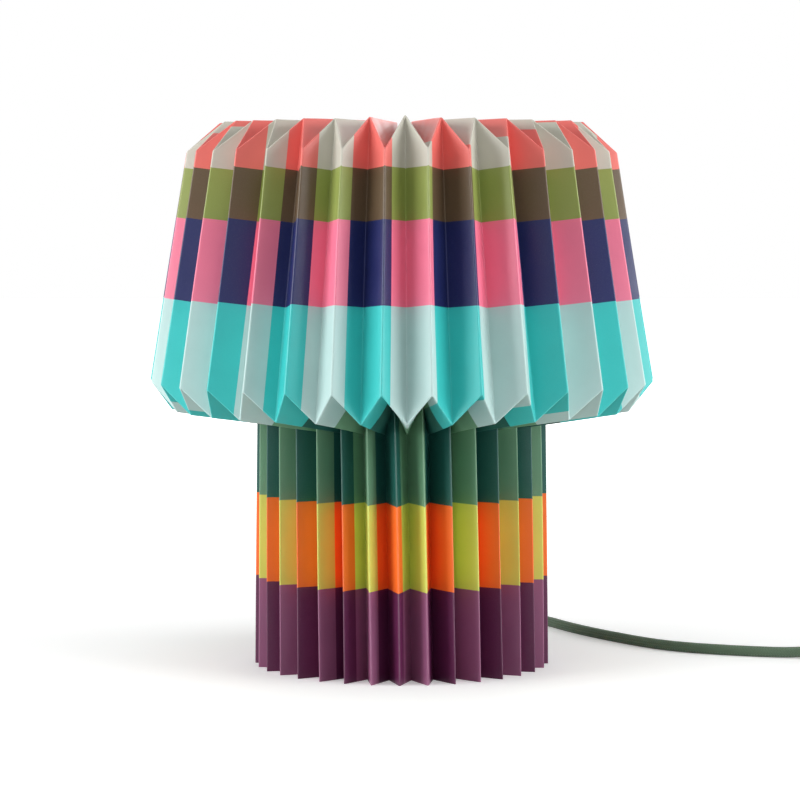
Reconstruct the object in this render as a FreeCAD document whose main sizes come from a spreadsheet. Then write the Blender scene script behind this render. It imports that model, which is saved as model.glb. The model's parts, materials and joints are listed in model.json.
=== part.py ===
import FreeCAD, Part
import math
import os
import re

import Sketcher
from FreeCAD import Matrix, Placement, Rotation, Vector

# Pleated paper table lamp: a folded paper body that lifts off a light kit, and its cord.
# Millimetres, +Z up, origin on the table at the axis of the column.

doc = FreeCAD.newDocument("pleated_paper_lamp")
sheet = doc.addObject("Spreadsheet::Sheet", "sizes")

SIZES = {
    # folded sheet
    "pleat_count": 34,
    "panel_width": 19.3,
    "sheet_thickness": 0.4,
    "crease_width": 0.8,
    "fan_hole_radius": 21,
    "fan_hole_height": 281.8,
    "shoulder_radius": 119.7,
    "shoulder_height": 283,
    "rim_radius": 140.1,
    "rim_height": 158.2,
    "column_head_radius": 81,
    "column_head_height": 151.8,
    "column_foot_radius": 82.2,
    "first_valley_azimuth": 1.26,
    "column_head_twist": 1.42,
    "column_foot_twist": 3.5,
    "cord_notch_width": 15,
    # base
    "base_gap": 0.4,
    "base_height": 22,
    "base_edge_round": 4,
    "shell_wall": 1.5,
    "felt_thickness": 2,
    "felt_inset": 0.6,
    "cover_thickness": 2,
    "weight_thickness": 10.5,
    "weight_bore_radius": 16,
    "weight_rim_gap": 2,
    # stem
    "stem_radius": 5,
    "stem_bore_radius": 4,
    "stem_nut_flats": 14,
    "stem_nut_thickness": 3,
    "washer_radius": 9,
    "washer_thickness": 1,
    "stem_nut_grip": 0.5,
    "sleeve_radius": 7,
    "sleeve_length": 96,
    # lamp holder
    "holder_radius": 20,
    "holder_wall": 1.8,
    "holder_neck_radius": 8,
    "holder_neck_length": 5,
    "holder_neck_floor": 3,
    "holder_cap_length": 22,
    "holder_cap_lip": 4,
    "holder_shell_length": 38,
    "holder_rim_bead": 1.2,
    "holder_bead_height": 6,
    "holder_ledge": 2,
    "insert_thickness": 14,
    "insert_recess": 5,
    "screw_shell_radius": 13.5,
    "screw_shell_wall": 0.7,
    "screw_shell_length": 23,
    "terminal_radius": 2.4,
    "terminal_spacing": 16,
    "terminal_rise": 1,
    "terminal_cover": 2,
    "contact_height": 6,
    "contact_width": 5,
    "contact_sheet": 0.5,
    "lock_screw_radius": 1.5,
    # bulb
    "bulb_cap_radius": 13.1,
    "bulb_cap_length": 22,
    "bulb_contact_radius": 4.5,
    "bulb_contact_length": 1.5,
    "bulb_insulator_length": 2.5,
    "bulb_skirt_radius": 27.5,
    "bulb_skirt_length": 30,
    "bulb_skirt_wall": 1.5,
    "bulb_globe_radius": 30,
    "bulb_globe_wall": 1.2,
    "led_board_thickness": 1.6,
    # cord and its entry
    "cord_diameter": 6,
    "cord_entry_height": 10,
    "wire_diameter": 2.2,
    "wire_spacing": 2.8,
    "wire_bend_radius": 6,
    "relief_reach": 88,
    "relief_flange_radius": 5.8,
    "relief_neck_radius": 4.9,
    "relief_tip_radius": 4,
    "relief_flange": 1.5,
    "clamp_length": 22,
    "clamp_width": 8,
    "clamp_thickness": 2.5,
    "clamp_reach": 48,
    "clamp_screw_spacing": 16,
    "clamp_screw_radius": 1.5,
    "clamp_screw_length": 8,
    # in-line switch
    "switch_length": 62,
    "switch_width": 26,
    "switch_height": 16,
    "switch_wall": 1.8,
    "switch_round": 8,
    "switch_edge_round": 2,
    "switch_cord_height": 8,
    "switch_cord_reach": 9,
    "rocker_end_radius": 11.5,
    "rocker_width": 12,
    "rocker_dip": 5.2,
    "rocker_swing": 20,
    "rocker_pin_radius": 1.2,
    "rocker_pin_height": 11.4,
    "rocker_ear": 1.6,
    "switch_screw_radius": 1.3,
    "switch_screw_length": 9,
    "switch_screw_reach": 23,
    "switch_screw_side": 7.4,
    "switch_boss_radius": 2.8,
    # plug
    "plug_width": 35.3,
    "plug_thickness": 13.7,
    "plug_length": 36,
    "plug_neck_radius": 5.5,
    "plug_neck_length": 22,
    "plug_pin_radius": 2,
    "plug_pin_length": 19,
    "plug_pin_spacing": 18.6,
    "plug_groove_width": 1.4,
    "plug_groove_depth": 0.6,
    "plug_groove_spacing": 3.2,
    "plug_groove_reach": 11,
    # coil of the put-away cord
    "coil_least_radius": 25.5,
    "coil_gap": 0.7,
    "coil_layer_gap": 0.8,
    "coil_half_turns": 11,
    # fits
    "fit_gap": 0.05,
    "moving_gap": 0.3,
    "notch_gap": 1,
}

aliases = []


def put_size(alias, value):
    aliases.append(alias)
    row = len(aliases)
    sheet.set(f"A{row}", alias)
    sheet.set(f"B{row}", str(value))
    sheet.setAlias(f"B{row}", alias)


for alias, value in SIZES.items():
    put_size(alias, value)
doc.recompute()


def bound(text):
    """The expression with each size's name led by the sheet's."""
    return re.sub(r"[a-z_]+", lambda word: "sizes." + word[0] if word[0] in aliases else word[0], text)


def worth(text):
    """What an expression of the sheet's sizes comes to."""
    return float(sheet.evalExpression(bound(text)))


def plane_of(body, role):
    return next(item for item in body.Origin.OriginFeatures if item.Role == role)


def new_body(label):
    body = doc.addObject("PartDesign::Body", label)
    body.Label = label
    return body


def new_sketch(body, role, offset=None):
    """A sketch on one of the body's own origin planes, or that far along the plane's normal."""
    sketch = body.newObject("Sketcher::SketchObject", body.Label + "_sketch")
    sketch.AttachmentSupport = [(plane_of(body, role), "")]
    sketch.MapMode = "FlatFace"
    if offset:
        sketch.setExpression(".AttachmentOffset.Base.z", bound(offset))
    return sketch


def pin_point(sketch, geometry, end, across, along):
    """Ties a point of the sketch to the sheet: its distances from the sketch's two axes."""
    for kind, axis, text in (("DistanceX", -2, across), ("DistanceY", -1, along)):
        if abs(worth(text)) < 1e-9:
            sketch.addConstraint(Sketcher.Constraint("PointOnObject", geometry, end, axis))
            continue
        number = sketch.addConstraint(Sketcher.Constraint(kind, -1, 1, geometry, end, worth(text)))
        sketch.setExpression(f"Constraints[{number}]", bound(text))


def draw_outline(sketch, corners):
    """A closed outline. A corner of four texts is reached by an arc through its last two."""
    spots = [tuple(worth(text) for text in corner) for corner in corners]
    first = sketch.GeometryCount
    count = len(corners)
    for number in range(count):
        here, there = spots[number], spots[(number + 1) % count]
        start, end = Vector(here[0], here[1]), Vector(there[0], there[1])
        if len(there) == 4:
            middle = Vector(there[2], there[3])
            clockwise = (middle - start).cross(end - middle).z < 0
            sketch.addGeometry(Part.Arc(end, middle, start) if clockwise else Part.Arc(start, middle, end))
        else:
            sketch.addGeometry(Part.LineSegment(start, end))
    ends = []
    for number in range(count):
        start = Vector(spots[number][0], spots[number][1])
        ends.append(1 if sketch.getPoint(first + number, 1).distanceToPoint(start) < 1e-6 else 2)
    for number, corner in enumerate(corners):
        before = (number - 1) % count
        joint = (first + before, 3 - ends[before], first + number, ends[number])
        sketch.addConstraint(Sketcher.Constraint("Coincident", *joint))
        pin_point(sketch, first + number, ends[number], corner[0], corner[1])
        if len(corner) == 4:
            through = sketch.addGeometry(Part.Point(Vector(spots[number][2], spots[number][3])), True)
            sketch.addConstraint(Sketcher.Constraint("PointOnObject", through, 1, first + before))
            pin_point(sketch, through, 1, corner[2], corner[3])


def draw_circle(sketch, across, along, radius):
    spot = Vector(worth(across), worth(along))
    circle = sketch.addGeometry(Part.Circle(spot, Vector(0, 0, 1), worth(radius)))
    pin_point(sketch, circle, 3, across, along)
    number = sketch.addConstraint(Sketcher.Constraint("Radius", circle, worth(radius)))
    sketch.setExpression(f"Constraints[{number}]", bound(radius))


def rectangle(across, along, half_width, half_length):
    """The four corners of a rectangle about a centre, each size a text."""
    low_x, high_x = f"({across})-({half_width})", f"({across})+({half_width})"
    low_y, high_y = f"({along})-({half_length})", f"({along})+({half_length})"
    return [(low_x, low_y), (high_x, low_y), (high_x, high_y), (low_x, high_y)]


def turn_outline(body, corners):
    """Revolves an outline of radius and height about the Z axis."""
    sketch = new_sketch(body, "XZ_Plane")
    draw_outline(sketch, corners)
    turning = body.newObject("PartDesign::Revolution", body.Label + "_turning")
    turning.Profile = sketch
    turning.ReferenceAxis = (sketch, ["V_Axis"])
    turning.Angle = 360
    sketch.Visibility = False
    doc.recompute()
    return turning


def turned(label, corners):
    body = new_body(label)
    turn_outline(body, corners)
    return body


def swept(body, kind, sketch, length, both_ways=False, against=False):
    """A pad or pocket of the sketch, as long as the text says."""
    feature = body.newObject("PartDesign::" + kind, f"{body.Label}_{kind.lower()}")
    feature.Profile = sketch
    feature.setExpression("Length", bound(length))
    feature.Midplane = both_ways
    feature.Reversed = against
    doc.recompute()
    return feature


def pocketed(body, sketch, length, both_ways=False, against=False):
    """A pocket that has to take material away."""
    before = body.Shape.Volume
    feature = swept(body, "Pocket", sketch, length, both_ways, against)
    if body.Shape.Volume > before - 1e-3:
        raise ValueError(f"a pocket of {body.Label} cuts nothing")
    return feature


def dressed(body, kind, chosen, amount):
    """A fillet or chamfer on the edges of the body's tip for which chosen(edge) is true."""
    tip = body.Tip
    names = [f"Edge{n}" for n, edge in enumerate(tip.Shape.Edges, 1) if chosen(edge)]
    if not names:
        raise ValueError(f"no edge to dress on {body.Label}")
    feature = body.newObject("PartDesign::" + kind, f"{body.Label}_{kind.lower()}")
    feature.Base = (tip, names)
    feature.setExpression("Radius" if kind == "Fillet" else "Size", bound(amount))
    doc.recompute()
    return feature


def plain_part(label, shape):
    """A sub-part whose shape comes from its own formula."""
    part = doc.addObject("Part::Feature", label)
    part.Label = label
    part.Shape = shape
    return part


parts = []


def keep(*made):
    parts.extend(made)


# ---------------------------------------------------------------- folded sheet

LEVELS = ("fan hole", "shoulder", "rim", "column head", "column foot")
ZONES = ("top_fan", "shade_wall", "under_fan", "column")


def flat(radius, height):
    return Vector(radius, height, 0)


def creases():
    """The ridge crease and the valley crease in the radial plane, as points of radius and height.

    At each fold the sheet reverses: the fold runs along the bisector of the two runs of the
    ridge crease, so the valley crease changes sides of it and stays a panel's width away.
    """
    ridge = [
        flat(worth("fan_hole_radius"), worth("fan_hole_height")),
        flat(worth("shoulder_radius"), worth("shoulder_height")),
        flat(worth("rim_radius"), worth("rim_height")),
        flat(worth("column_head_radius"), worth("column_head_height")),
        flat(worth("column_foot_radius"), 0),
    ]
    runs = [(after - before).normalize() for before, after in zip(ridge, ridge[1:])]
    spread = 4 * math.sin(math.pi / worth("pleat_count") / 2) ** 2
    valley = []
    for level, corner in enumerate(ridge):
        before = runs[max(level - 1, 0)]
        after = runs[min(level, len(runs) - 1)]
        side = 1 if min(level, len(runs) - 1) % 2 == 0 else -1
        if before == after:
            fold = Vector(-after.y, after.x, 0) * side
        else:
            fold = (before + after).normalize()
            if after.cross(fold).z * side < 0:
                fold = fold * -1
        sine = abs(after.cross(fold).z)
        spot = corner
        for _ in range(8):
            depth = math.sqrt(worth("panel_width") ** 2 - spread * corner.x * spot.x)
            spot = corner + fold * (depth / sine)
        valley.append(spot)
    valley[-1] = flat(valley[-1].x, 0)
    return ridge, valley


def sheet_lines():
    """The edges of every crease, right round the axis, each a list of points from top to foot.

    A pleat has four: both edges of its valley crease, then both edges of its ridge crease.
    """
    ridge, valley = creases()
    twist = [0, 0, 0, worth("column_head_twist"), worth("column_foot_twist")]
    half_pitch = 180 / worth("pleat_count")
    half_crease = worth("crease_width") / 2
    lines = []
    for crease in range(2 * int(worth("pleat_count"))):
        profile = ridge if crease % 2 else valley
        for side in (-half_crease, half_crease):
            line = []
            for spot, extra in zip(profile, twist):
                angle = math.radians(worth("first_valley_azimuth") + crease * half_pitch + extra)
                outward = Vector(math.sin(angle), -math.cos(angle), 0)
                sideways = Vector(math.cos(angle), math.sin(angle), 0)
                line.append(outward * spot.x + sideways * side + Vector(0, 0, spot.y))
            lines.append(line)
    return lines


def shift_for(normals, distance):
    """The step that takes a corner the same distance off every face that meets there."""
    pairs = [(a, b) for a in range(3) for b in range(3)]
    total = {(a, b): sum(normal[a] * normal[b] for normal in normals) for a, b in pairs}
    steady = 1e-4
    matrix = Matrix(
        total[0, 0] + steady, total[0, 1], total[0, 2], 0,
        total[1, 0], total[1, 1] + steady, total[1, 2], 0,
        total[2, 0], total[2, 1], total[2, 2] + steady, 0,
    )
    return matrix.inverse() * (sum(normals, Vector()) * distance)


def sheet_faces_of(lines):
    """The outer and the inner skin of the sheet: two grids of points, line by line."""
    count, levels = len(lines), len(LEVELS)
    normals = {}
    for line in range(count):
        here, there = lines[line], lines[(line + 1) % count]
        for level in range(levels - 1):
            normal = (there[level + 1] - here[level]).cross(there[level] - here[level + 1])
            normals[line, level] = normal.normalize()
    outer, inner = [], []
    for line in range(count):
        skins = ([], [])
        for level in range(levels):
            cells = [(line - side) % count for side in (0, 1)]
            steps = [step for step in (level - 1, level) if 0 <= step < levels - 1]
            around = [normals[cell, step] for cell in cells for step in steps]
            shift = shift_for(around, worth("sheet_thickness") / 2)
            if level == levels - 1:
                shift.z = 0
            skins[0].append(lines[line][level] + shift)
            skins[1].append(lines[line][level] - shift)
        outer.append(skins[0])
        inner.append(skins[1])
    return outer, inner


def patch(first, second, third, fourth):
    """The face on four corners in order, or two triangles where they don't lie in one plane."""
    off_plane = (second - first).cross(third - first).normalize().dot(fourth - first)
    if abs(off_plane) < 1e-7:
        return [Part.Face(Part.makePolygon([first, second, third, fourth, first]))]
    halves = ((first, second, third), (first, third, fourth))
    return [Part.Face(Part.makePolygon([*half, half[0]])) for half in halves]


def zone_solid(outer, inner, lines, level):
    """One zone of a half sheet, from one fold to the next, as a closed solid."""
    faces = []
    for here, there in zip(lines, lines[1:]):
        for skin in (outer, inner):
            corners = [skin[here][level], skin[there][level]]
            corners += [skin[there][level + 1], skin[here][level + 1]]
            faces += patch(*corners)
        for row in (level, level + 1):
            corners = [outer[here][row], outer[there][row], inner[there][row], inner[here][row]]
            faces += patch(*corners)
    for end in (lines[0], lines[-1]):
        corners = [outer[end][level], outer[end][level + 1]]
        corners += [inner[end][level + 1], inner[end][level]]
        faces += patch(*corners)
    shell = Part.makeShell(faces)
    shell.sewShape()
    solid = Part.makeSolid(shell)
    if solid.Volume < 0:
        solid.reverse()
    return solid


def notch_tool():
    """What the cord's opening in the foot takes away: an arch about the cord's axis."""
    half = worth("cord_notch_width") / 2
    height = worth("cord_entry_height")
    reach = worth("base_radius")
    depth = worth("column_foot_radius+panel_width") - reach
    block = Part.makeBox(2 * half, depth, height + 1, Vector(-half, reach, -1))
    arch = Part.makeCylinder(half, depth, Vector(0, reach, height), Vector(0, 1, 0))
    return block.fuse(arch)


def make_sheet():
    lines = sheet_lines()
    outer, inner = sheet_faces_of(lines)
    count = len(lines)
    half = 4 * (int(worth("pleat_count")) // 2)
    quarter = 4 * (int(worth("pleat_count")) // 4) + 4
    for name, first in (("front", -quarter), ("rear", half - quarter)):
        last = first + half if name == "front" else count - quarter
        span = [number % count for number in range(first, last + 1)]
        for level, zone in enumerate(ZONES):
            solid = zone_solid(outer, inner, span, level)
            if name == "rear" and zone == "column":
                solid = solid.cut(notch_tool())
            keep(plain_part(f"{name}_{zone}", solid))


# ---------------------------------------------------------------- base and stem


def fit_base():
    """Enters in the sheet the base's radius: it centres the foot of the folded column."""
    ridge, valley = creases()
    put_size("base_radius", valley[-1].x - worth("sheet_thickness") / 2 - worth("base_gap"))
    doc.recompute()


def make_base():
    inside = "base_radius-shell_wall"
    edge = "base_radius-base_edge_round"
    corner = "base_height-base_edge_round"
    slant = 1 - math.sqrt(0.5)
    shell = turned("base_shell", [
        ("stem_radius+fit_gap", "base_height"),
        (edge, "base_height"),
        ("base_radius", corner,
         f"base_radius-base_edge_round*{slant}", f"base_height-base_edge_round*{slant}"),
        ("base_radius", "felt_thickness"),
        (inside, "felt_thickness"),
        (inside, corner),
        (edge, "base_height-shell_wall",
         f"{inside}-(base_edge_round-shell_wall)*{slant}",
         f"base_height-shell_wall-(base_edge_round-shell_wall)*{slant}"),
        ("stem_radius+fit_gap", "base_height-shell_wall"),
    ])
    hole = new_sketch(shell, "XZ_Plane")
    draw_circle(hole, "0", "cord_entry_height", "relief_neck_radius+fit_gap")
    pocketed(shell, hole, "base_radius+1")

    cover_top = "felt_thickness+cover_thickness"
    cover = turned("base_cover", [
        ("0", "felt_thickness"),
        (f"{inside}-fit_gap", "felt_thickness"),
        (f"{inside}-fit_gap", cover_top),
        ("0", cover_top),
    ])
    felt = turned("felt_pad", [
        ("0", "0"),
        ("base_radius-felt_inset", "0"),
        ("base_radius-felt_inset", "felt_thickness"),
        ("0", "felt_thickness"),
    ])

    rim = f"{inside}-weight_rim_gap"
    weight_top = f"{cover_top}+weight_thickness"
    weight = turned("base_weight", [
        ("weight_bore_radius", cover_top),
        (rim, cover_top),
        (rim, weight_top),
        ("weight_bore_radius", weight_top),
    ])
    channel = new_sketch(weight, "XY_Plane")
    draw_outline(channel, rectangle("0", "base_radius/2", "cord_diameter/2+notch_gap", "base_radius/2"))
    pocketed(weight, channel, f"{weight_top}+1", against=True)
    threads = new_sketch(weight, "XY_Plane")
    for side in ("-", ""):
        spot = f"{side}clamp_screw_spacing/2"
        draw_circle(threads, spot, "clamp_reach", "clamp_screw_radius+fit_gap")
    pocketed(weight, threads, f"{weight_top}+1", against=True)
    keep(shell, cover, felt, weight)


def make_stem():
    under = "base_height-shell_wall"
    nut_top = f"{under}-washer_thickness"
    nut_foot = f"{nut_top}-stem_nut_thickness"
    stem_top = "base_height+sleeve_length+holder_neck_length+holder_neck_floor"
    stem = turned("stem_tube", [
        ("stem_bore_radius", f"{nut_foot}-stem_nut_grip"),
        ("stem_radius", f"{nut_foot}-stem_nut_grip"),
        ("stem_radius", stem_top),
        ("stem_bore_radius", stem_top),
    ])
    washer = turned("stem_washer", [
        ("stem_radius+fit_gap", nut_top),
        ("washer_radius", nut_top),
        ("washer_radius", under),
        ("stem_radius+fit_gap", under),
    ])
    nut = new_body("stem_nut")
    hexagon = new_sketch(nut, "XY_Plane", nut_foot)
    corners = [
        (f"stem_nut_flats/sqrt(3)*{math.cos(math.radians(60 * n))}",
         f"stem_nut_flats/sqrt(3)*{math.sin(math.radians(60 * n)) if n % 3 else 0}")
        for n in range(6)
    ]
    draw_outline(hexagon, corners)
    draw_circle(hexagon, "0", "0", "stem_radius+fit_gap")
    swept(nut, "Pad", hexagon, "stem_nut_thickness")
    sleeve = turned("stem_sleeve", [
        ("stem_radius+fit_gap", "base_height"),
        ("sleeve_radius", "base_height"),
        ("sleeve_radius", "base_height+sleeve_length"),
        ("stem_radius+fit_gap", "base_height+sleeve_length"),
    ])
    keep(stem, washer, nut, sleeve)


# ---------------------------------------------------------------- lamp holder

HOLDER_FOOT = "base_height+sleeve_length"
SHELL_FOOT = f"{HOLDER_FOOT}+holder_cap_length"
INSERT_FOOT = f"{SHELL_FOOT}+holder_ledge"
RECESS_FLOOR = f"{INSERT_FOOT}+insert_thickness-insert_recess"
BULB_FOOT = f"{RECESS_FLOOR}+contact_height"
TERMINAL_LENGTH = "insert_thickness-insert_recess-terminal_cover-terminal_rise"


def make_holder():
    inside = "holder_radius-holder_wall"
    neck = f"{HOLDER_FOOT}+holder_neck_length"
    lip_foot = f"{SHELL_FOOT}-holder_cap_lip"
    floor_top = f"{neck}+holder_neck_floor"
    cap = turned("holder_cap", [
        ("stem_radius+fit_gap", HOLDER_FOOT),
        ("holder_neck_radius", HOLDER_FOOT),
        ("holder_neck_radius", neck),
        ("holder_radius", lip_foot,
         "holder_neck_radius+(holder_radius-holder_neck_radius)*0.72",
         f"{neck}+(holder_cap_length-holder_neck_length-holder_cap_lip)*0.28"),
        ("holder_radius", SHELL_FOOT),
        (inside, SHELL_FOOT),
        (inside, lip_foot),
        ("holder_neck_radius-1", floor_top,
         f"holder_neck_radius-1+({inside}-holder_neck_radius+1)*0.7",
         f"{floor_top}+({lip_foot}-({floor_top}))*0.3"),
        ("stem_radius+fit_gap", floor_top),
    ])
    lock_hole = new_sketch(cap, "YZ_Plane")
    draw_circle(lock_hole, "0", f"{HOLDER_FOOT}+holder_neck_length/2", "lock_screw_radius+fit_gap")
    pocketed(cap, lock_hole, "holder_radius", against=True)

    shell_top = f"{SHELL_FOOT}+holder_shell_length"
    shell = turned("holder_shell", [
        (f"{inside}-holder_ledge", SHELL_FOOT),
        ("holder_radius", SHELL_FOOT),
        ("holder_radius", f"{shell_top}-holder_bead_height"),
        ("holder_radius+holder_rim_bead", f"{shell_top}-holder_bead_height+1"),
        ("holder_radius+holder_rim_bead", f"{shell_top}-1"),
        ("holder_radius+holder_rim_bead-1", shell_top),
        (f"{inside}-1", shell_top),
        (f"{inside}-1", f"{shell_top}-2"),
        (inside, f"{shell_top}-3"),
        (inside, INSERT_FOOT),
        (f"{inside}-holder_ledge", INSERT_FOOT),
    ])
    insert_top = f"{INSERT_FOOT}+insert_thickness"
    cup = "screw_shell_radius+screw_shell_wall+fit_gap"
    insert = turned("holder_insert", [
        ("0", INSERT_FOOT),
        (f"{inside}-fit_gap", INSERT_FOOT),
        (f"{inside}-fit_gap", insert_top),
        (cup, insert_top),
        (cup, RECESS_FLOOR),
        ("0", RECESS_FLOOR),
    ])
    wells = new_sketch(insert, "XY_Plane", INSERT_FOOT)
    for side in ("-", ""):
        draw_circle(wells, f"{side}terminal_spacing/2", "0", "terminal_radius+fit_gap")
    pocketed(insert, wells, "insert_thickness-insert_recess-terminal_cover", against=True)

    screw_shell = turned("screw_shell", [
        ("screw_shell_radius/2", RECESS_FLOOR),
        ("screw_shell_radius+screw_shell_wall", RECESS_FLOOR),
        ("screw_shell_radius+screw_shell_wall", f"{RECESS_FLOOR}+screw_shell_length"),
        ("screw_shell_radius", f"{RECESS_FLOOR}+screw_shell_length"),
        ("screw_shell_radius", f"{RECESS_FLOOR}+screw_shell_wall"),
        ("screw_shell_radius/2", f"{RECESS_FLOOR}+screw_shell_wall"),
    ])

    leaf = new_body("centre_contact")
    side_view = new_sketch(leaf, "XZ_Plane")
    top = f"{BULB_FOOT}-moving_gap"
    draw_outline(side_view, [
        ("-screw_shell_radius/2+1", RECESS_FLOOR),
        ("1", RECESS_FLOOR),
        ("screw_shell_radius/2-2", f"{top}-1.5"),
        ("0", top),
        ("-2", f"{top}-contact_sheet"),
        ("0", f"{top}-contact_sheet"),
        ("screw_shell_radius/2-2.8", f"{top}-1.6"),
        ("0.6", f"{RECESS_FLOOR}+contact_sheet"),
        ("-screw_shell_radius/2+1", f"{RECESS_FLOOR}+contact_sheet"),
    ])
    swept(leaf, "Pad", side_view, "contact_width", both_ways=True)

    posts = []
    for side in (-1, 1):
        spot = Vector(side * worth("terminal_spacing") / 2, 0, worth(f"{INSERT_FOOT}+terminal_rise"))
        length = worth(TERMINAL_LENGTH)
        post = Part.makeCylinder(worth("terminal_radius"), length, spot)
        bore = Part.makeCylinder(worth("wire_diameter/2+fit_gap"), length - 1, spot)
        posts.append(post.cut(bore))
    terminals = plain_part("terminal_posts", Part.makeCompound(posts))

    screw = new_body("cap_lock_screw")
    end_view = new_sketch(screw, "YZ_Plane", "stem_radius+fit_gap")
    draw_circle(end_view, "0", f"{HOLDER_FOOT}+holder_neck_length/2", "lock_screw_radius")
    swept(screw, "Pad", end_view, "holder_neck_radius-stem_radius")
    slot = new_sketch(screw, "YZ_Plane", "holder_neck_radius+fit_gap")
    centre = f"{HOLDER_FOOT}+holder_neck_length/2"
    draw_outline(slot, rectangle("0", centre, "lock_screw_radius+1", "lock_screw_radius/5"))
    pocketed(screw, slot, "lock_screw_radius/2")
    keep(cap, shell, insert, screw_shell, leaf, terminals, screw)


# ---------------------------------------------------------------- bulb


def make_bulb():
    insulator_foot = f"{BULB_FOOT}+bulb_contact_length"
    cap_foot = f"{insulator_foot}+bulb_insulator_length"
    cap_top = f"{cap_foot}+bulb_cap_length"
    skirt_top = f"{cap_top}+bulb_skirt_length"
    contact = turned("bulb_contact", [
        ("0", BULB_FOOT),
        ("bulb_contact_radius*0.6", BULB_FOOT),
        ("bulb_contact_radius", insulator_foot),
        ("0", insulator_foot),
    ])
    insulator = turned("bulb_insulator", [
        ("0", insulator_foot),
        ("bulb_contact_radius+0.5", insulator_foot),
        ("bulb_cap_radius-3", cap_foot),
        ("0", cap_foot),
    ])
    cap = turned("bulb_cap", [
        ("0", cap_foot),
        ("bulb_cap_radius-3", cap_foot),
        ("bulb_cap_radius", f"{cap_foot}+3"),
        ("bulb_cap_radius", cap_top),
        ("0", cap_top),
    ])
    hollow = "bulb_skirt_radius-bulb_skirt_wall"
    skirt = turned("bulb_skirt", [
        ("0", cap_top),
        ("bulb_cap_radius+0.6", cap_top),
        ("bulb_skirt_radius", skirt_top,
         "bulb_cap_radius+(bulb_skirt_radius-bulb_cap_radius)*0.62", f"{cap_top}+bulb_skirt_length*0.42"),
        (hollow, skirt_top),
        (hollow, f"{skirt_top}-led_board_thickness"),
        ("bulb_cap_radius-1.5", f"{cap_top}+2",
         "bulb_cap_radius-1.5+(bulb_skirt_radius-bulb_cap_radius)*0.6",
         f"{cap_top}+2+(bulb_skirt_length-4)*0.46"),
        ("0", f"{cap_top}+2"),
    ])
    board = turned("led_board", [
        ("0", f"{skirt_top}-led_board_thickness"),
        (f"{hollow}-fit_gap", f"{skirt_top}-led_board_thickness"),
        (f"{hollow}-fit_gap", skirt_top),
        ("0", skirt_top),
    ])
    middle = f"({skirt_top}+sqrt(bulb_globe_radius^2-bulb_skirt_radius^2))"
    core = "bulb_globe_radius-bulb_globe_wall"
    level = f"({middle}-({skirt_top}))"
    mouth = f"sqrt(({core})^2-{level}^2)"
    globe = turned("bulb_globe", [
        (core, middle, f"({core})*0.98", f"{middle}-({core})*sqrt(1-0.98^2)"),
        ("0", f"{middle}+{core}", f"({core})*sqrt(0.5)", f"{middle}+({core})*sqrt(0.5)"),
        ("0", f"{middle}+bulb_globe_radius"),
        ("bulb_globe_radius", middle,
         "bulb_globe_radius*sqrt(0.5)", f"{middle}+bulb_globe_radius*sqrt(0.5)"),
        ("bulb_skirt_radius", skirt_top,
         "bulb_globe_radius*0.98", f"{middle}-bulb_globe_radius*sqrt(1-0.98^2)"),
        (mouth, skirt_top),
    ])
    keep(contact, insulator, cap, skirt, board, globe)


# ---------------------------------------------------------------- cord


def rounded_path(points, radii=None):
    """Straight runs joined by tangent arcs. Without radii each arc is as large as its runs allow."""
    edges, used, last = [], [], points[0]
    for number in range(1, len(points) - 1):
        before, corner, after = points[number - 1:number + 2]
        way_in, way_out = (corner - before).normalize(), (after - corner).normalize()
        half_turn = way_in.getAngle(way_out) / 2
        shorter = min(corner.distanceToPoint(before), corner.distanceToPoint(after))
        radius = radii[number - 1] if radii else 0.45 * shorter / math.tan(half_turn)
        back = radius * math.tan(half_turn)
        start, end = corner - way_in * back, corner + way_out * back
        inward = (way_out - way_in).normalize()
        middle = corner + inward * (radius / math.cos(half_turn) - radius)
        edges.append(Part.LineSegment(last, start).toShape())
        edges.append(Part.Arc(start, middle, end).toShape())
        used.append(round(radius, 1))
        last = end
    edges.append(Part.LineSegment(last, points[-1]).toShape())
    return Part.Wire(edges), used


def tube(label, wire, diameter):
    """A round tube along a wire, whose volume has to be its section times its length."""
    edge = wire.OrderedEdges[0]
    start, way = edge.valueAt(edge.FirstParameter), edge.tangentAt(edge.FirstParameter)
    if start.distanceToPoint(wire.OrderedVertexes[0].Point) > 1e-6:
        start, way = edge.valueAt(edge.LastParameter), edge.tangentAt(edge.LastParameter) * -1
    ring = Part.Wire(Part.makeCircle(diameter / 2, start, way))
    solid = wire.makePipeShell([ring], True, False)
    expected = math.pi * diameter ** 2 / 4 * wire.Length
    share = solid.Volume / expected
    print(f"{label}: {wire.Length:.1f} mm long, volume over section times length {share:.4f}")
    if abs(share - 1) > 0.01:
        raise ValueError(f"{label} isn't the tube it should be")
    return plain_part(label, solid)


def relief_end():
    return Vector(0, worth("relief_reach"), worth("cord_entry_height"))


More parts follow.
